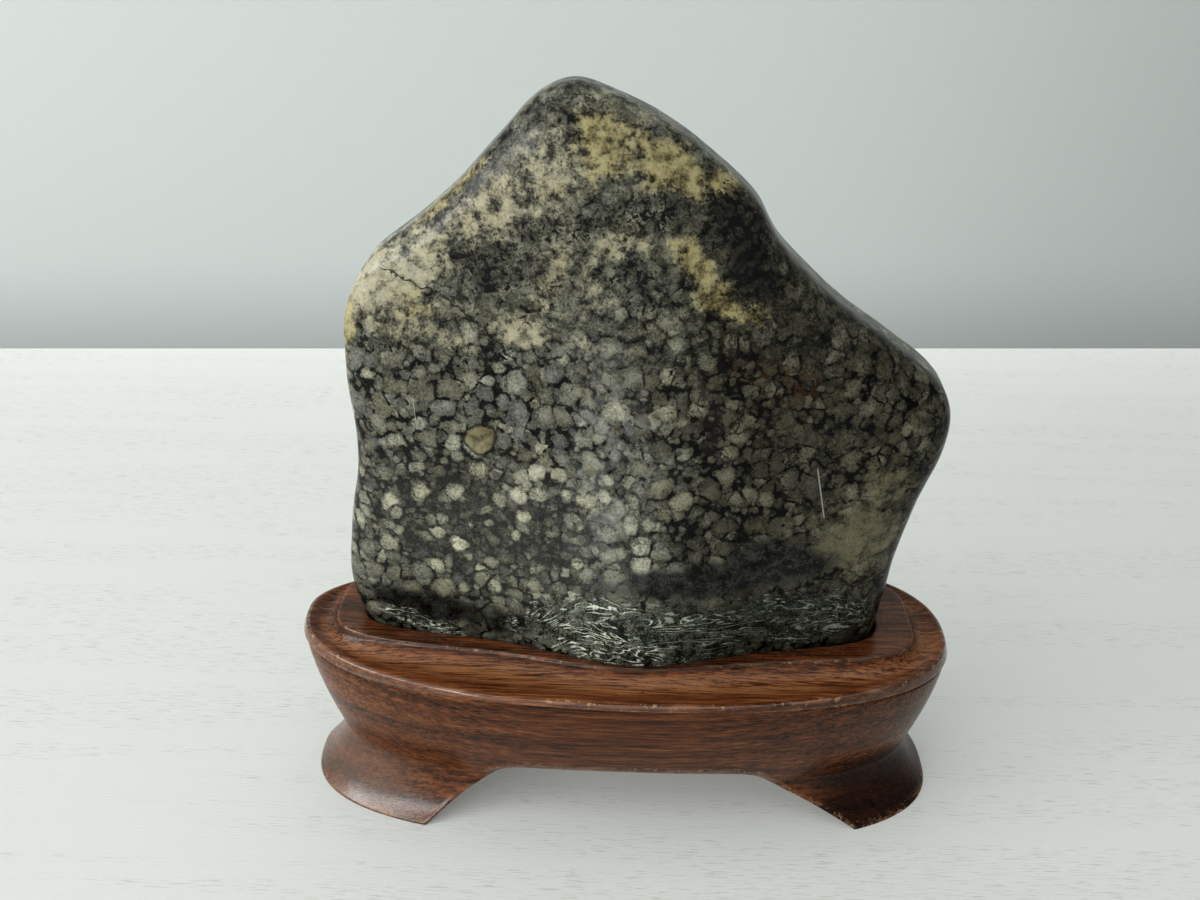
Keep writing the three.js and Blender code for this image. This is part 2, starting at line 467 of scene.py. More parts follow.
# reach of the stone's outline from its centre, for any direction
def outlineReach(dx, dz):
    points = np.array(stone["outline"], float)
    dense = []
    n = len(points)
    for i in range(n):
        a, b, c, d = points[i - 1], points[i], points[(i + 1) % n], points[(i + 2) % n]
        leadB = (c - a) / np.linalg.norm(c - a)
        leadC = (d - b) / np.linalg.norm(d - b)
        span = np.linalg.norm(c - b) / 3
        h1, h2 = b + leadB * span, c - leadC * span
        for t in np.arange(24) / 24:
            dense.append((1 - t) ** 3 * b + 3 * t * (1 - t) ** 2 * h1
                         + 3 * t * t * (1 - t) * h2 + t ** 3 * c)
    dense = np.array(dense) - np.array(stone["centre"])
    angles = np.arctan2(dense[:, 1], dense[:, 0])
    order = np.argsort(angles)
    return np.interp(np.arctan2(dz, dx), angles[order], np.hypot(*dense.T)[order], period=2 * math.pi)


# the stone's front and back at a height, as depths
def stoneSection(x, z):
    cx, cz = stone["centre"]
    gap = stand["seatGap"]
    share = np.clip(np.hypot(x - cx, z - cz) / (outlineReach(x - cx, z - cz) + gap), 0, 1)
    power = stone["edgePower"]
    swell = (1 - share ** power) ** (1 / power)
    front, back, middle = stoneFaces(x, z, np.exp)
    return (middle + swell * (-front - gap - middle), middle + swell * (back + gap - middle), share < 1)


# the seat's wall at a height: the farthest that each direction stays inside the stone's section and its gap
def seatRing(angle, z):
    lead = np.stack([59.0 * np.cos(angle), 15.0 * np.sin(angle)])
    low, high = np.full(angle.shape, 0.3), np.full(angle.shape, 2.5)
    for _ in range(34):
        mid = (low + high) / 2
        x, y = lead * mid
        front, back, inside = stoneSection(x, z)
        inside &= (y > front) & (y < back)
        low, high = np.where(inside, mid, low), np.where(inside, high, mid)
    return lead * low


def buildStand(material):
    count = stand["around"]
    angle = np.arange(count) * 2 * math.pi / count + math.pi / count
    top = stand["rimTop"]
    rings, wear, cove = [], [], []

    def addRing(x, y, z, worn=0.0, hollow=0.0):
        z = z - stand["slope"] * x * z / top
        rings.append(np.stack([x, y + stand["forward"], z], 1))
        wear.append(np.full(count, worn) if np.isscalar(worn) else worn)
        cove.append(np.full(count, hollow))

    # a point on the side at each direction's own height
    def sidePoint(z, zTop):
        x, y = planPoint(levelPlan(z, zTop), angle)
        shift = stand["footShift"] * np.clip(1 - z / stand["waist"], 0, 1)
        return x + shift, y

    # the side's lower edge follows the arch and the feet
    zEdge = np.zeros(count)
    for _ in range(12):
        x, y = sidePoint(zEdge, top - 2.5)
        zEdge = archHeight(x)
    x, y = sidePoint(zEdge, top - 2.5)
    zBand = top - bandDepth(x)
    # the apron's lower edge is well rounded, the feet's edges only a little
    under = np.clip((zEdge - 9) / 5.0, 0, 1)
    radius = 0.6 + 4.2 * under * under * (3 - 2 * under) + 0.6 * np.clip((x - 25) / 20, 0, 1) * (zEdge > 0)
    # the underside starts as a line along the middle, where the front and back halves share their points
    inner = 1 - radius / np.hypot(x, y)
    insetX, insetY = x * inner, y * inner
    middleX = (insetX + insetX[::-1]) / 2
    # and stops short of the blunt ends, so that no faces are slivers there
    middleX = middleX * (1 - 0.03 * smoothStep(np.abs(middleX), 60.0, 75.0))
    for s in (0.0, 0.2, 0.4, 0.6, 0.8, 0.9):
        ringX = middleX + (insetX - middleX) * s
        addRing(ringX, insetY * s, archHeight(ringX))
    for turn in np.linspace(0, math.pi / 2, 10):
        inset = radius * (1 - math.sin(turn))
        rise = radius * (1 - math.cos(turn))
        px, py = sidePoint(zEdge + rise, zBand)
        shrink = 1 - inset / np.hypot(px, py)
        addRing(px * shrink, py * shrink, archHeight(px * shrink) + rise, 0.8)
    start = zEdge + radius
    for t in np.linspace(0, 1, 34)[1:]:
        z = start + (zBand - start) * t
        px, py = sidePoint(z, zBand)
        addRing(px, py, z)

    # rim band: a small step out, a rounded face, then the top edge
    rimX, rimY = planPoint(stand["rim"], angle)
    outX, outY = rimX / np.hypot(rimX, rimY), rimY / np.hypot(rimX, rimY)
    depth = bandDepth(rimX)
    for out, drop, worn in stand["rimSteps"]:
        addRing(rimX + outX * out, rimY + outY * out, top - depth * drop, worn)

    collarX, collarY = planPoint(stand["collar"], angle)
    for inward, rise in smoothPath(stand["shelf"], 3):
        ridge = max(0.0, 1 - abs(inward - 1.0) / 0.03)
        edge = max(0.0, 1 - inward / 0.06)
        addRing(rimX + (collarX - rimX) * inward, rimY + (collarY - rimY) * inward, top + rise,
                0.8 * ridge + edge, float(smoothStep(abs(inward - 0.62), 0.42, 0.1)))

    # collar top falls a little to the seat's rounded lip, then the seat's wall and floor
    seatX, seatY = seatRing(angle, 44.2)
    for inward, rise in smoothPath(stand["lip"], 3):
        addRing(collarX + (seatX - collarX) * inward, collarY + (seatY - collarY) * inward, top + rise, 0.1)
    addRing(seatX, seatY, top + 1.9)
    deepX, deepY = seatRing(angle, 42.0)
    addRing(deepX, deepY, 41.4)
    for scale in (1.0, 0.7, 0.35):
        addRing(deepX * scale, deepY * scale, stand["seatFloor"])

    points = np.concatenate(rings) * mm
    faces = []
    for r in range(len(rings) - 1):
        a = r * count
        for i in range(count):
            j = (i + 1) % count
            faces.append((a + i, a + j, a + count + j, a + count + i))
    last = (len(rings) - 1) * count
    points = np.vstack([points, points[last:].mean(0)])
    for i in range(count):
        faces.append((last + i, last + (i + 1) % count, len(points) - 1))
    mesh = bpy.data.meshes.new("stand_carved")
    mesh.from_pydata(points.tolist(), [], faces)
    for name, values in (("wear", wear), ("cove", cove)):
        layer = mesh.attributes.new(name, "FLOAT", "POINT")
        layer.data.foreach_set("value", np.append(np.concatenate(values), 0.0).astype(np.float32))
    mesh.materials.append(material)
    return tidyMesh(mesh, "stand_carved")


# stone finish: where each kind of marking and the painted reflection lie on the front face
# x and z of the middle, half length, half width, tilt in degrees, strength
stoneZones = {
    "cream": [(-50, 127, 12, 9, 10, 1.0), (-39, 135, 7, 6, 30, 0.75), (-43, 118, 15, 3.2, -4, 0.65),
              (-27, 143, 12, 6, 42, 0.85), (-15, 149, 8, 4.5, 65, 0.85), (-14, 155, 10, 7, 0, 0.5),
              (-15, 131, 13, 3.4, 62, 0.8), (-21, 119, 7, 5, 0, 0.7), (0, 138, 8, 4, 0, 0.75),
              (-5, 127, 5, 9, 0, 0.45), (-36, 116, 4, 3, 0, 0.5), (-8, 118, 8, 5, 0, 0.30),
              (2, 122, 6, 4, 0, 0.30)],
    "yellow": [(-5, 156, 7, 7, 20, 0.85), (8, 152, 13, 4.6, -34, 0.9), (18, 148, 7, 3.4, -42, 0.8),
               (14, 133, 9, 3.2, -62, 0.85), (19, 126.5, 7, 5, -30, 0.85), (25, 123, 5, 2.6, 0, 0.7),
               (-57.5, 120, 10, 3.0, 84, 0.9), (-35, 146, 12, 2.6, 44, 0.75), (-43, 123, 6, 5, 0, 0.55)],
    "tan": [(50, 72, 11, 11, 0, 0.9), (55, 85, 7, 6, 0, 0.7), (60, 98, 4, 6, 0, 0.4)],
    "dark": [(-27, 133, 8, 7, 60, 0.62), (-16, 140, 8, 2.6, 8, 0.55), (-7, 143, 7, 5, 0, 0.42),
             (5, 145, 9, 5, 0, 0.48), (21, 142, 8, 5, -30, 0.95), (24, 134, 12, 5.5, -68, 0.88),
             (2, 132, 5, 3, 0, 0.55), (-17, 126, 9, 2.2, 48, 0.6), (-50, 115, 8, 2.2, 0, 0.5),
             (-30, 114, 9, 4, 0, 0.42), (10, 110, 8, 2, 80, 0.5), (19, 99, 8.5, 2.0, 82, 1.0),
             (-25, 155, 9, 3.4, 52, 0.42), (4, 127, 5, 6, 0, 0.40), (46, 98, 10, 6, 20, 0.35),
             (37, 112, 14, 6, -38, 0.38)],
    "rust": [(32, 110, 12, 6, -20, 0.8), (4, 104, 9, 4, -15, 0.6), (54, 87, 5, 3, 30, 0.7),
             (24, 100, 10, 6, 0, 0.35), (-3, 108, 8, 3, 0, 0.3)],
    "apart": [(-28, 73, 40, 20, -6, 1.0), (-48, 84, 12, 9, 0, 0.6), (-4, 66, 12, 8, 0, 0.7)],
    "smooth": [(18, 64, 30, 5.5, 4, 0.80), (34, 68, 15, 6, -6, 0.95), (-45, 52, 16, 4.5, -8, 1.0),
               (-26, 50, 8, 5, 0, 0.8)],
    "layered": [(6, 51, 34, 10, 0, 1.0), (38, 52, 24, 9, -6, 0.85), (-47, 47.5, 12, 3, -14, 0.9)],
    # painted reflection: pale sheen down the belly's ridge and on the left shoulder; the spot at x -3, z 84
    # is partly a whitish patch in the stone
    "haze": [(-3, 84, 6, 6, 0, 1.0), (-3, 90, 30, 8, 90, 0.6), (-48, 128, 8, 6, 20, 0.4)],
}
stoneFinish = {
    # sizes of nodule, small to large: millimetres, least and most radius as shares of them, the seam
    # between two, weight, and how much they fade where the large ones stand apart
    "nodules": [(1.7, 0.42, 0.66, 0.0, 0.60, 0.55), (3.3, 0.44, 0.70, 0.042, 0.88, 0.48),
                (5.0, 0.42, 0.68, 0.034, 1.0, 0.0)],
    "matrixDark": (0.0025, 0.003, 0.0025),
    "matrixPale": (0.064, 0.064, 0.058),
    "olive": (0.235, 0.220, 0.155),
    "grey": (0.200, 0.204, 0.184),
    "bright": (0.46, 0.455, 0.340),
    "tan": (0.175, 0.152, 0.095),
    "cream": (0.42, 0.385, 0.275),
    "yellow": (0.37, 0.325, 0.175),
    "ochre": (0.30, 0.245, 0.110),
    "tanPatch": (0.215, 0.195, 0.125),
    "ground": (0.235, 0.230, 0.172),
    "purple": (0.010, 0.009, 0.010),
    "rust": (0.085, 0.036, 0.013),
    # pale colour of the painted reflection and of the scratches
    "haze": (0.50, 0.51, 0.48),
    "layerLine": (0.76, 0.80, 0.66),
    "layerGround": (0.006, 0.008, 0.006),
    "layerGrey": (0.150, 0.158, 0.128),
    "crack": (0.010, 0.010, 0.009),
    # painted shade for the stone's lower part
    "footShade": (0.25, 0.26, 0.25),
    # the brown nodule with a dark ring: middle, radius and its two browns
    "ringed": (-30.0, 0.0, 96.0),
    "ringRadius": 3.1,
    "ringDark": (0.05, 0.04, 0.018),
    "ringPale": (0.25, 0.22, 0.12),
    "layerHeight": 11.0,
}
# cracks and scratches: from, to, half width
stoneCracks = [((-49, 131), (-37, 126.5), 0.20), ((-37, 126.5), (-29, 120.5), 0.22),
               ((-29, 120.5), (-21, 112), 0.22), ((-21, 112), (-17, 104), 0.16)]
stoneScratches = [((40.4, 90), (42.8, 78), 0.14), ((-44, 104), (-43.6, 97), 0.08)]


# each kind of marking, and the painted reflection, becomes a mask of the same name on the stone's own points
def markZones(piece):
    mesh = piece.data
    at = np.empty(len(mesh.vertices) * 3)
    mesh.vertices.foreach_get("co", at)
    at = at.reshape(-1, 3) / mm
    sway = np.array([noise.noise_vector(Vector(p) * 0.10) * 2.4
                     + noise.noise_vector(Vector(p) * 0.40) * 1.3 for p in at])
    x, z = at[:, 0] + sway[:, 0], at[:, 2] + sway[:, 2]
    frontal = smoothStep(at[:, 1], 9.0, -1.0)
    for name, zones in stoneZones.items():
        mask = np.zeros(len(at))
        for cx, cz, long, wide, tilt, strength in zones:
            c, s = math.cos(math.radians(tilt)), math.sin(math.radians(tilt))
            along = ((x - cx) * c + (z - cz) * s) / long
            across = ((z - cz) * c - (x - cx) * s) / wide
            mask = np.maximum(mask, strength * smoothStep(np.hypot(along, across), 1.4, 0.25))
        layer = mesh.attributes.new(name, "FLOAT", "POINT")
        layer.data.foreach_set("value", (mask * frontal).astype(np.float32))


# a thin line between two places on the front face
def scratchLine(g, at, start, end, half):
    (x0, z0), (x1, z1) = start, end
    length = math.hypot(x1 - x0, z1 - z0)
    tilt = math.atan2(z1 - z0, x1 - x0)
    local = g.get("ShaderNodeMapping", "Vector", {"vector_type": "TEXTURE"},
                  {"Vector": at, "Location": ((x0 + x1) / 2, 0.0, (z0 + z1) / 2),
                   "Rotation": (0.0, -tilt, 0.0), "Scale": (1.0, 10000.0, 1.0)})
    along, _, across = g.split(local)
    ends = g.ease(abs(along), length / 2 + 0.6, length / 2 - 0.6)
    return g.ease(abs(across), half * 1.6, half * 0.3) * ends


# round bodies of one size: where they are, how deep inside one, and two random numbers of each
def nodules(g, at, size, low, high, seam, shrink):
    spread = {"Vector": at, "Scale": 1.0 / size, "Randomness": 0.9}
    cell = g.make("ShaderNodeTexVoronoi", {"feature": "F1"}, spread)
    near = g.out(cell, "Distance")
    luck, tint, shade = g.channels(g.out(cell, "Color"))
    radius = (low + luck * (high - low)) * shrink
    body = g.ease(near, radius, radius - 0.07)
    if seam:
        edge = g.get("ShaderNodeTexVoronoi", "Distance", {"feature": "DISTANCE_TO_EDGE"}, spread)
        body = body * g.ease(edge, seam, seam + 0.07)
    return body, g.ease(near, radius, 0.05), tint, shade


def polishedStone():
    material, g = newMaterial("polishedNodularStone")
    f = stoneFinish
    at = place(g)
    x, y, z = g.split(at)
    broad, fine = (g.vector("SUBTRACT", g.noise(at, scale, detail, rough, name="Color"), (0.5, 0.5, 0.5))
                   for scale, detail, rough in ((0.09, 2.0, 0.5), (0.5, 3.0, 0.6)))
    warped = g.moved(g.moved(at, broad, 4.0), fine, 1.6)
    bx, _, bz = g.split(g.moved(g.moved(at, broad, 10.0), fine, 6.0))
    mottle = g.noise(at, 0.36, 5.0, 0.64)
    speck = g.noise(at, 2.0, 4.0, 0.78)
    drift = g.noise(at, 0.045, 3.0, 0.6)
    frontal = g.ease(y, 9.0, -1.0)
    behind = 1.0 - frontal
    zone = {name: g.mask(name) for name in stoneZones}
    upper = g.ease(bz + 26.0 * (drift - 0.5), 104.0, 136.0)
    right = g.ease(bx, 0.0, 26.0) * frontal
    low = g.ease(bz, 62.0, 50.0)
    apart = g.largest(zone["apart"], behind * g.ease(drift, 0.54, 0.44))

    # three sizes of nodules, the larger over the smaller, in dark ground
    ground = g.mix(g.ease(speck, 0.42, 0.72) * g.ease(mottle, 0.3, 0.7) * g.blend(right, 0.9, 0.25),
                   f["matrixDark"], f["matrixPale"])
    ground = g.mix(apart * 0.75 * g.ease(speck, 0.2, 0.6), ground, f["matrixPale"])
    pile = ground
    tiny = None
    for size, least, most, seam, weight, fade in f["nodules"]:
        isLarge = fade == 0.0
        shrink = 1.0 - apart * 0.18 if isLarge else 1.0
        body, heart, tint, shade = nodules(g, warped, size, least, most, seam, shrink)
        tone = g.mix(tint, f["olive"], f["grey"])
        tone = g.mix(right * 0.65, tone, f["tan"])
        glow = g.ease(shade, 0.45, 1.0) * g.blend(apart, 0.35, 0.85)
        if isLarge:
            glow = g.largest(glow, apart * (0.60 + 0.40 * shade))
        tone = g.mix(glow * g.ease(heart, 0.0, 0.25), tone, f["bright"])
        light = 0.24 + 0.58 * heart ** 0.4 + 1.6 * (mottle - 0.44) + 2.6 * (speck - 0.5)
        tone = g.times(tone, g.grey(g.largest(light, 0.06) * (0.66 + 0.56 * shade)))
        keep = 1.0 - upper * 0.45 if isLarge else 1.0 - apart * fade
        pile = g.mix(body * weight * keep, pile, tone)
        tiny = body if tiny is None else tiny

    # dark lines that run between the nodules
    veins = g.cells(g.moved(at, fine, 5.0), 0.105)
    vein = g.ease(veins, 0.045, 0.012) * g.ease(mottle, 0.36, 0.56) * (0.35 + 0.65 * right)
    pile = g.mix(vein * 0.85, pile, f["matrixDark"])
    # darker towards the right: partly the stone's own darker tone, partly painted shade
    pile = g.times(pile, g.grey(1.0 - right * 0.50))

    # upper part: olive grey ground with clouds of cream and yellow, ringed with dark dots
    lines = g.cells(warped, 0.36)
    net = 1.0 - g.ease(lines, 0.075, 0.020) * g.ease(mottle, 0.60, 0.40)
    clouds = g.noise(at, 0.14, 4.0, 0.6)
    groundLight = 0.50 + 2.6 * (clouds - 0.5) + 2.6 * (mottle - 0.5) + 1.6 * (speck - 0.5)
    softGround = g.times(f["ground"], g.grey(g.largest(groundLight, 0.05) * (0.30 + 0.70 * net)))
    colour = g.mix(upper * 0.46 * (1.0 - right * 0.6), pile, softGround)
    cloud = (mottle - 0.5) * 1.4 + (speck - 0.5) * 0.3
    backCream = behind * g.ease(g.noise(at, 0.05, 3.0, 0.6), 0.52, 0.70)
    creamField = g.largest(zone["cream"], backCream)
    cream = g.ease(creamField + cloud * 1.6 * g.ease(creamField, 0.0, 0.35), 0.20, 1.05)
    yellow = g.ease(zone["yellow"] + cloud * 1.6 * g.ease(zone["yellow"], 0.0, 0.35), 0.22, 1.0)
    patch = g.largest(cream, yellow)
    branch = g.noise(at, 0.75, 4.0, 0.68, 0.8)
    dendrite = (mottle - 0.5) * 1.3 + (branch - 0.5) * 2.6 + (speck - 0.5) * 0.8
    dark = g.ease(zone["dark"] * 0.9 + dendrite, 0.40, 0.52) * g.ease(zone["dark"], 0.0, 0.3)
    dapple = g.grey(g.largest(0.90 + 1.0 * (mottle - 0.5) + 0.9 * (speck - 0.5), 0.15) * (0.60 + 0.40 * net))
    creamTone = g.times(g.mix(g.ease(tint, 0.3, 0.9) * 0.35, f["cream"], f["yellow"]), dapple)
    yellowTone = g.times(g.mix(g.ease(mottle, 0.42, 0.60), f["ochre"], f["yellow"]), dapple)
    colour = g.mix(cream * 0.84, colour, creamTone)
    colour = g.mix(yellow * 0.84, colour, yellowTone)
    fleck = upper * g.ease(dendrite, -0.16, -0.28) * (1.0 - patch * 0.7)
    colour = g.mix(fleck * 0.70, colour, f["purple"])
    dots = g.cells(warped, 0.62, "F1")
    fringe = g.largest(g.ease(patch, 0.0, 0.35) * g.ease(patch, 0.8, 0.4), dark)
    dotted = fringe * g.ease(dots, 0.42, 0.20)
    colour = g.mix(dotted * 0.8, colour, f["purple"])
    colour = g.mix(dark * (0.98 - 0.34 * tiny), colour, f["purple"])

    # tan patch, rust stains, the smooth dark belt, painted shade low down, and the layered foot
    tanned = g.ease(zone["tan"] + cloud * 1.3 * g.ease(zone["tan"], 0.0, 0.35), 0.20, 0.85)
    colour = g.mix(tanned * 0.62, colour, g.times(f["tanPatch"], dapple))
    stain = zone["rust"] * g.ease(g.noise(at, 0.75, 3.0, 0.65), 0.48, 0.60)
    colour = g.mix(stain * 0.55, colour, f["rust"])
    ringed = g.lengthOf(g.vector("SUBTRACT", g.vector("MULTIPLY", warped, (1.0, 0.0, 1.0)), f["ringed"]))
    radius = f["ringRadius"]
    colour = g.mix(g.ease(ringed, radius + 0.2, radius - 0.4) * frontal * 0.8, colour,
                   g.mix(g.ease(mottle, 0.35, 0.65), f["ringDark"], f["ringPale"]))
    colour = g.mix(g.ease(abs(ringed - radius), 0.5, 0.1) * frontal * 0.8, colour, f["crack"])
    smoothBelt = g.ease(zone["smooth"] + (mottle - 0.5) * 1.4 + (speck - 0.5) * 0.8, 0.30, 0.70)
    calm = g.mix(g.ease(mottle + (speck - 0.5) * 0.9, 0.40, 0.66) * 0.75, f["matrixDark"], f["matrixPale"])
    colour = g.mix(smoothBelt * 0.90, colour, calm)
    # darker towards the bottom, outside the layered foot: painted shade of the undercut and a painted
    # reflection of the dark stand below
    colour = g.mix(low * (1.0 - zone["layered"]) * 0.75, colour, g.times(colour, f["footShade"]))

    # the layers bend up towards the right, and their pale lines come and go
    sheet = z - f["layerHeight"] * g.ease(x, -27.0, -7.0) * frontal + 0.05 * x
    flow = g.noise(g.join(x * 0.050, y * 0.050, sheet * 0.17), 1.0, 3.0, 0.55, 0.6)
    ply = g.sum("FRACT", flow * 14.0 + sheet * 0.45)
    weight = g.ease(g.noise(g.join(x * 0.10, y * 0.10, z * 0.30), 1.0, 4.0, 0.65), 0.38, 0.56)
    line = g.ease(abs(ply - 0.5), 0.17, 0.03) * weight * (0.35 + 0.65 * g.ease(speck, 0.38, 0.54))
    line = line * (1.0 - 0.65 * right)
    layeredField = g.largest(zone["layered"], behind * g.ease(bz, 57.0, 50.0) * 0.9)
    layered = g.ease(layeredField + (mottle - 0.5) * 1.5 + (speck - 0.5) * 0.5, 0.32, 0.68)
    base = g.mix(g.ease(mottle + (speck - 0.5) * 1.2, 0.42, 0.64) * (0.9 - 0.55 * right),
                 f["layerGround"], f["layerGrey"])
    base = g.mix(line, base, f["layerLine"])
    colour = g.mix(layered * 0.92, colour, base)
    # painted reflection: pale sheen on the belly and the left shoulder, over a small whitish patch
    colour = g.mix(zone["haze"] * 0.32 * g.ease(mottle, 0.34, 0.60) * (0.4 + 0.6 * net), colour, f["haze"])

    # cracks and scratches
    shaken = g.moved(at, fine, 3.0)
    crack = g.largest(*[scratchLine(g, shaken, *item) for item in stoneCracks]) * frontal
    wide = g.cells(g.moved(at, fine, 7.0), 0.040)
    crack = g.largest(crack, g.ease(wide, 0.010, 0.003) * g.ease(drift, 0.40, 0.56) * 0.7)
    colour = g.mix(crack * 0.9, colour, f["crack"])
    scratch = g.largest(*[scratchLine(g, at, *item) for item in stoneScratches]) * frontal
    colour = g.mix(scratch * 0.55, colour, f["haze"])

    rough = 0.23 + 0.16 * (mottle - 0.5) + 0.08 * (speck - 0.5) + 0.12 * crack
    height = (speck - 0.5) * 0.014 + (mottle - 0.5) * 0.06
    bump = g.get("ShaderNodeBump", "Normal", None, {"Strength": 0.5, "Distance": mm, "Height": height})
    surface = g.get("ShaderNodeBsdfPrincipled", "BSDF", None,
                    {"Base Color": colour, "Roughness": rough, "Normal": bump, "IOR": 1.5,
                     "Specular IOR Level": 0.11, "Coat Weight": 0.06, "Coat Roughness": 0.06})
    finishMaterial(g, surface)
    return material


# wood finish
woodFinish = {
    "black": (0.016, 0.005, 0.002),
    "brown": (0.070, 0.022, 0.007),
    "red": (0.142, 0.046, 0.015),
    "orange": (0.27, 0.108, 0.036),
    "cove": (0.26, 0.125, 0.055),
    "wear": (0.42, 0.25, 0.14),
    "dustAndSheenTint": (0.165, 0.120, 0.098),
    "darkWoodAndShadeTint": (0.14, 0.08, 0.06),
    "bandShade": (0.42, 0.34, 0.30),
    "roughness": 0.27,
}


def lacqueredRosewood():
    material, g = newMaterial("lacqueredRosewood")
    f = woodFinish
    at = place(g)
    x, y, z = g.split(at)
    sway = g.noise(g.join(x * 0.012, y * 0.05, z * 0.05), 1.0, 2.0, name="Color")
    swayX, swayY, _ = g.split(sway)
    ringY = y + 55.0 + (swayX - 0.5) * 14.0
    ringZ = z + 70.0 + (swayY - 0.5) * 14.0
    rings = g.sum("SQRT", ringY * ringY * 0.5 + ringZ * ringZ)
    bands = g.noise(g.join(x * 0.006, rings * 0.30, 0.0), 1.0, 3.0, 0.5)
    streak = g.noise(g.join(x * 0.02, y * 0.9, z * 0.9), 1.0, 3.0, 0.6)
    fibre = g.noise(g.join(x * 0.09, y * 2.6, z * 2.6), 1.0, 3.0, 0.7)
    tone = 0.5 + (bands - 0.5) * 0.52 + (streak - 0.5) * 0.42 + (fibre - 0.5) * 0.85
    colour = g.get("ShaderNodeValToRGB", "Color",
                   {"stops": [(0.33, f["black"]), (0.45, f["brown"]), (0.57, f["red"]), (0.76, f["orange"])]},
                   {"Fac": tone})
    # the cove is lighter orange-brown: partly the wood's tone, partly painted light that the cove catches
    colour = g.mix(g.mask("cove") * g.ease(tone, 0.42, 0.62) * 0.60, colour, f["cove"])
    # the right foot darker: partly darker wood, partly painted shade
    rightFootDarkAndShade = g.ease(x, 36.0, 54.0) * g.ease(z, 18.0, 11.0)
    colour = g.mix(rightFootDarkAndShade * 0.96, colour, g.times(colour, f["darkWoodAndShadeTint"]))
    # the left foot's top paler and greyer: partly dust, partly a painted broad highlight
    leftFootDustAndSheen = g.ease(x, -42.0, -58.0) * g.ease(z, 16.0, 9.0)
    colour = g.mix(leftFootDustAndSheen * 0.42, colour, f["dustAndSheenTint"])
    pores = g.noise(g.join(x * 0.55, y * 5.5, z * 5.5), 1.0, 1.0, 0.5)
    pore = g.ease(pores, 0.36, 0.28)
    colour = g.mix(pore * 0.75, colour, f["black"])
    worn = g.mask("wear")
    band = g.ease(worn, 0.05, 0.2) * g.ease(z, 35.0, 37.5)
    # the band darker on its right half, where its face turns from the light: painted shade
    colour = g.mix(band * g.ease(x, -5.0, 30.0) * 0.75, colour, g.times(colour, f["bandShade"]))
    rubbed = worn * g.ease(g.noise(g.join(x * 0.12, y * 0.4, z * 0.4), 1.0, 3.0, 0.6), 0.46, 0.62)
    chipped = g.ease(g.noise(at, 0.045, 2.0) + 0.10 * g.ease(x, 0.0, 30.0), 0.48, 0.58)
    chips = worn * g.ease(g.noise(at, 0.8, 4.0, 0.7), 0.54, 0.62) * chipped
    colour = g.mix(g.largest(chips * 0.85, rubbed * 0.30), colour, f["wear"])
    rough = f["roughness"] + 0.12 * (streak - 0.5) + 0.2 * pore + 0.25 * chips
    height = (fibre - 0.5) * 0.02 - pore * 0.05 - chips * 0.05 + (g.noise(at, 0.12, 2.0) - 0.5) * 0.35
    bump = g.get("ShaderNodeBump", "Normal", None, {"Strength": 0.7, "Distance": mm, "Height": height})
    # the band and the tops of the feet are handled the most and shine the most
    shine = 0.08 + 0.90 * band + 0.26 * g.ease(z, 16.0, 8.0) * (1.0 - rightFootDarkAndShade) - 0.06 * rightFootDarkAndShade
    surface = g.get("ShaderNodeBsdfPrincipled", "BSDF", None,
                    {"Base Color": colour, "Roughness": rough, "Normal": bump, "IOR": 1.5,
                     "Specular IOR Level": 0.22, "Coat Weight": shine, "Coat Roughness": 0.16})
    finishMaterial(g, surface)
    return material


# room: everything round the object
room = {
    "turn": 2.5,
    "floorColour": (0.455, 0.46, 0.443),
    "floorMark": (0.20, 0.20, 0.19),
    "floorRightShade": (0.20, 0.205, 0.20),
    "floorGlow": 0.14,
    "wallColour": (0.575, 0.600, 0.587),
    "wallFootShade": (0.30, 0.31, 0.31),
    "floorBack": 0.262,
    "wallBack": 0.36,
    # lights: where, aimed at what, width and height, watts, colour
    "lights": {
        "windowLight": ((-0.95, -0.25, 0.68), (0, 0, 0.06), (0.5, 0.55), 3.0, (0.97, 0.99, 1.0)),
        "ceilingLight": ((-0.05, -0.10, 1.0), (0, 0, 0), (1.4, 1.2), 4.3, (1, 1, 1)),
        "frontWindow": ((-0.76, -0.60, 0.50), (0, 0, 0.04), (0.95, 0.11), 4.2, (1, 1, 1)),
        "lowGlow": ((0.0, 0.34, 0.05), (0, 0, 0), (1.2, 0.08), 0.55, (1, 1, 1)),
    },
    "worldColour": (0.95, 1.0, 0.98),
    "worldStrength": 0.85,
}


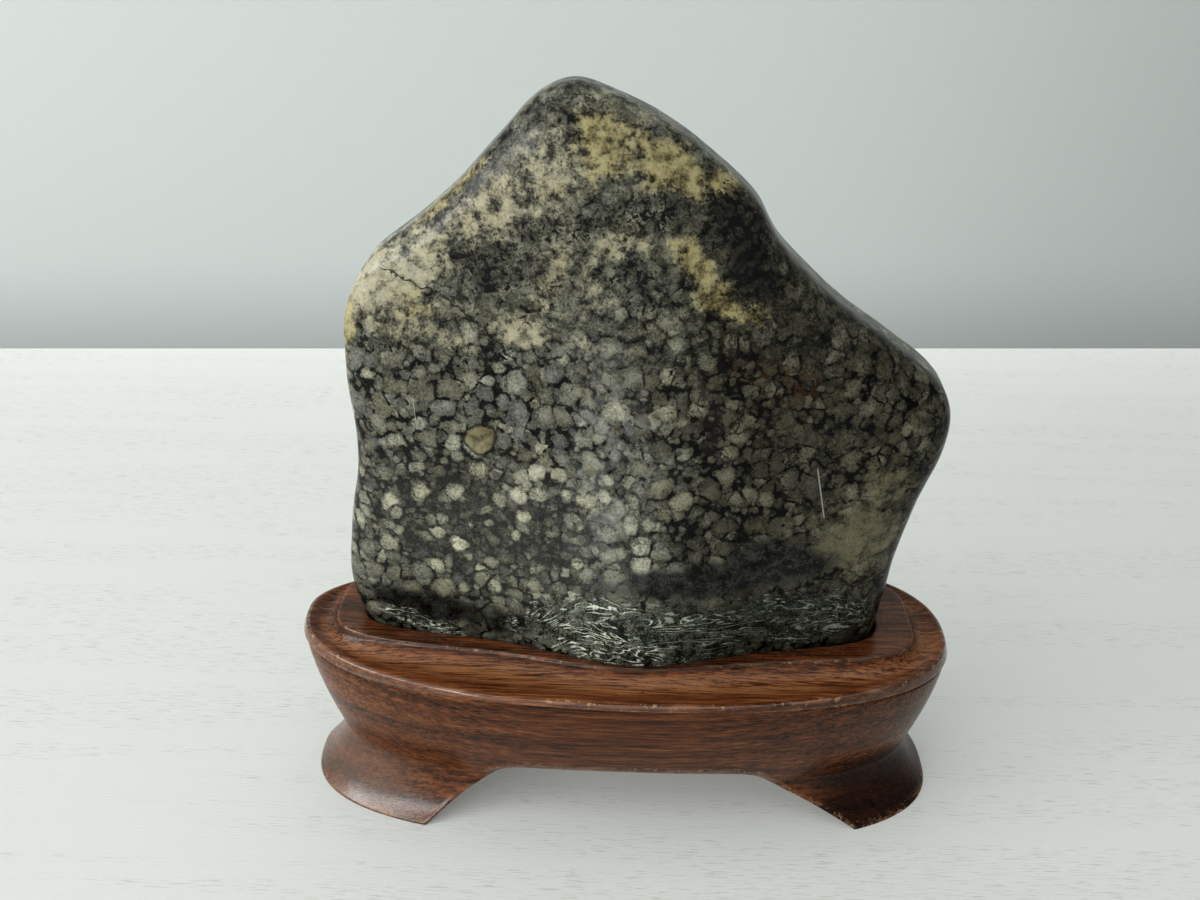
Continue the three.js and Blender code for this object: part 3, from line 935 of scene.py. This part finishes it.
def paleFloor():
    material, g = newMaterial("paleFloor")
    x, y, _ = g.split(place(g))
    drift = g.noise(g.join(x * 0.004, y * 0.03, 0.0), 1.0, 4.0, 0.6)
    bent = y + 8.0 * (g.noise(g.join(x * 0.008, y * 0.01, 0.0), 1.0, 1.0) - 0.5)
    grain = g.ease(g.noise(g.join(x * 0.004, bent * 0.085, 3.0), 1.0, 2.0), 0.45, 0.53)
    dash = g.noise(g.join(x * 0.16, bent * 2.6, 0.0), 1.0, 3.0, 0.6)
    mark = g.largest(g.ease(dash, 0.44, 0.36) * grain, g.ease(dash, 0.34, 0.28) * 0.5)
    colour = g.mix(drift * 0.35, room["floorColour"], tuple(c * 0.86 for c in room["floorColour"]))
    colour = g.mix(mark * 0.50, colour, room["floorMark"])
    # the floor darker towards the right: painted shade
    colour = g.mix(g.ease(x, 60.0, 420.0) * 0.30, colour, room["floorRightShade"])
    bump = g.get("ShaderNodeBump", "Normal", None, {"Strength": 0.4, "Distance": 0.3 * mm, "Height": dash})
    # the floor glows a little: painted light that lifts the shadows round the object
    surface = g.get("ShaderNodeBsdfPrincipled", "BSDF", None,
                    {"Base Color": colour, "Roughness": 0.6, "Specular IOR Level": 0.25, "Normal": bump,
                     "Emission Color": (0.97, 1.0, 0.97, 1.0), "Emission Strength": room["floorGlow"]})
    finishMaterial(g, surface)
    return material


def paleWall():
    material, g = newMaterial("paleWall")
    x, _, z = g.split(place(g))
    # the wall darker towards the right: painted shade
    colour = g.mix(g.ease(x, 40.0, 420.0), room["wallColour"], tuple(c * 0.74 for c in room["wallColour"]))
    # the wall darker near its foot, behind the table's edge: painted shade
    colour = g.mix(g.ease(z, 14.0, -52.0) * 0.6, colour, room["wallFootShade"])
    surface = g.get("ShaderNodeBsdfPrincipled", "BSDF", None, {"Base Color": colour, "Roughness": 0.9})
    finishMaterial(g, surface)
    return material


# a block from one corner to the other, turned with the room
def slab(name, low, high, material):
    work = bmesh.new()
    bmesh.ops.create_cube(work, size=1.0)
    turn = math.radians(room["turn"])
    for v in work.verts:
        x, y, z = (lo + (c + 0.5) * (hi - lo) for c, lo, hi in zip(v.co, low, high))
        v.co = Vector((x * math.cos(turn) - y * math.sin(turn), x * math.sin(turn) + y * math.cos(turn), z))
    mesh = bpy.data.meshes.new(name)
    work.to_mesh(mesh)
    work.free()
    mesh.materials.append(material)
    piece = bpy.data.objects.new(name, mesh)
    bpy.context.scene.collection.objects.link(piece)


def softLight(name, at, aim, size, power, colour):
    data = bpy.data.lights.new(name, "AREA")
    data.shape = "RECTANGLE"
    data.size, data.size_y = size
    data.energy = power
    data.color = colour
    lamp = bpy.data.objects.new(name, data)
    lamp.location = at
    lamp.rotation_euler = (Vector(aim) - Vector(at)).to_track_quat("-Z", "Y").to_euler()
    bpy.context.scene.collection.objects.link(lamp)
    return lamp


def buildRoom():
    slab("floor", (-1.6, -1.2, -0.02), (1.6, room["floorBack"], 0.0), paleFloor())
    slab("backdrop", (-1.6, room["wallBack"], -0.5), (1.6, room["wallBack"] + 0.02, 1.4), paleWall())
    lamps = {name: softLight(name, *values) for name, values in room["lights"].items()}
    # the low one lifts the wall's foot and is itself not seen
    lamps["lowGlow"].visible_camera = False
    lamps["lowGlow"].visible_glossy = False
    world = bpy.data.worlds.new("room")
    bpy.context.scene.world = world
    world.use_nodes = True
    world.node_tree.nodes.clear()
    g = Graph(world.node_tree)
    x = g.split(g.get("ShaderNodeTexCoord", "Generated"))[0]
    dim = tuple(c * 0.32 for c in room["worldColour"])
    sky = g.mix(g.ease(x, 0.9, -0.9), dim, room["worldColour"])
    surface = g.get("ShaderNodeBackground", "Background", None,
                    {"Color": sky, "Strength": room["worldStrength"]})
    g.make("ShaderNodeOutputWorld", None, {"Surface": surface})


# camera: degrees, metres and, for the lens, millimetres
view = {
    "azimuth": 2.5,
    "elevation": 28.0,
    "distance": 0.26483,
    "aim": (-0.00567, 0.00185, 0.08691),
    "lens": 36.0,
}


def buildCamera():
    az, el = math.radians(view["azimuth"]), math.radians(view["elevation"])
    back = Vector((math.sin(az) * math.cos(el), -math.cos(az) * math.cos(el), math.sin(el)))
    data = bpy.data.cameras.new("camera")
    data.sensor_width = 36.0
    data.lens = view["lens"]
    data.clip_start = 0.005
    camera = bpy.data.objects.new("camera", data)
    camera.location = Vector(view["aim"]) + back * view["distance"]
    camera.rotation_euler = (-back).to_track_quat("-Z", "Y").to_euler()
    bpy.context.scene.collection.objects.link(camera)
    bpy.context.scene.camera = camera


buildCamera()
buildRoom()
print("camera, floor, backdrop and lights in place")
stoneFinishMaterial = polishedStone()
woodFinishMaterial = lacqueredRosewood()
print("materials made")
stonePiece = buildStone(stoneFinishMaterial)
markZones(stonePiece)
print("stone built:", len(stonePiece.data.polygons), "faces")
standPiece = buildStand(woodFinishMaterial)
print("stand built:", len(standPiece.data.polygons), "faces")
for piece, node, slot in ((stonePiece, "stone", "polished_stone"), (standPiece, "stand", "rosewood")):
    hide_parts(node)
    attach(piece, "root")

bpy.context.scene.view_settings.view_transform = "Standard"
bpy.context.scene.view_settings.look = "Medium High Contrast"
